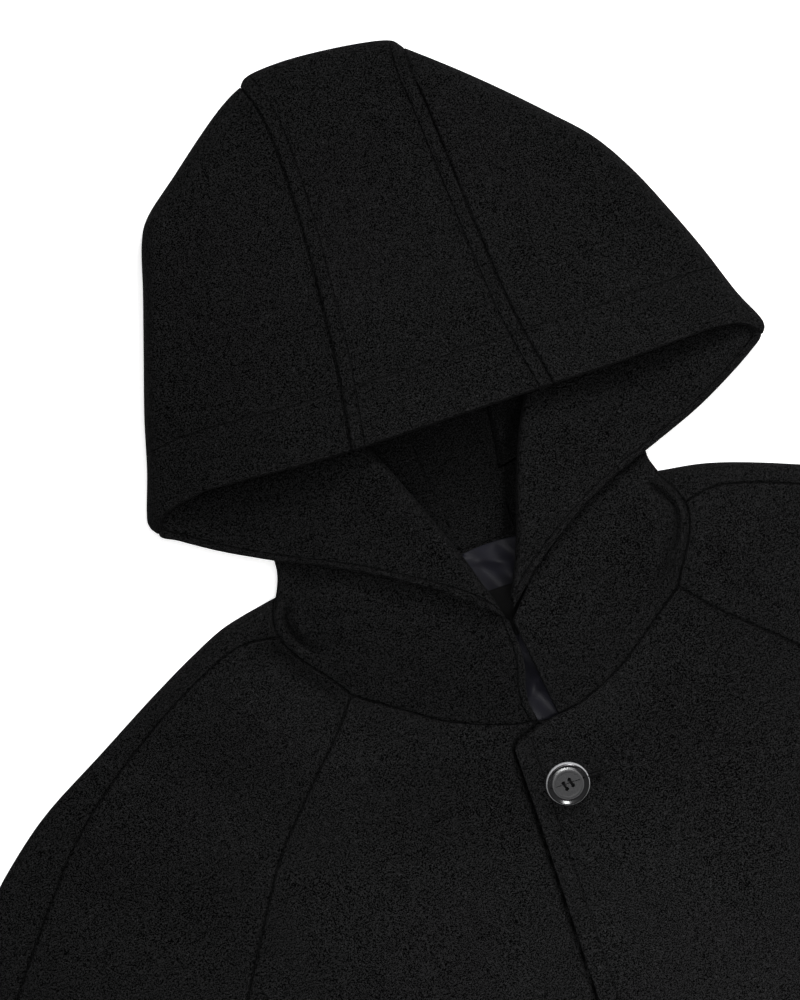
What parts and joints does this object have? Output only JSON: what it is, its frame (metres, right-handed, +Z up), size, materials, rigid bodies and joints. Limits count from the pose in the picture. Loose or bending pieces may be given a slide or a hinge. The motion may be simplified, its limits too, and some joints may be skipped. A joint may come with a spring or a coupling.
{
  "type": "hooded coat",
  "caption": "Hooded wool coat laid out flat on its back, with raglan sleeves, a three-panel hood standing open, and a buttoned front.",
  "frame": {"origin": "centre of the bounding box, on the surface that the coat lies on", "axes": "+X towards the wearer's left sleeve, +Y from the hem towards the hood, +Z up, away from the surface"},
  "size_m": [1.27, 1.3224, 0.06],
  "materials": {
    "wool": "felted",
    "satin": "satin",
    "button": "polished"
  },
  "bodies": {
    "root": {"back": "wool", "front_left": "wool", "front_right": "wool", "sleeve_front_left": "wool", "sleeve_front_right": "wool", "sleeve_back_left": "wool", "sleeve_back_right": "wool", "neck_left": "wool", "neck_right": "wool", "hood_left": "wool", "hood_right": "wool", "hood_gusset": "wool", "hood_facing_left": "wool", "hood_facing_right": "wool", "lining": "satin", "button_1": "button", "button_2": "button", "button_3": "button", "button_4": "button"}
  },
  "joints": []
}
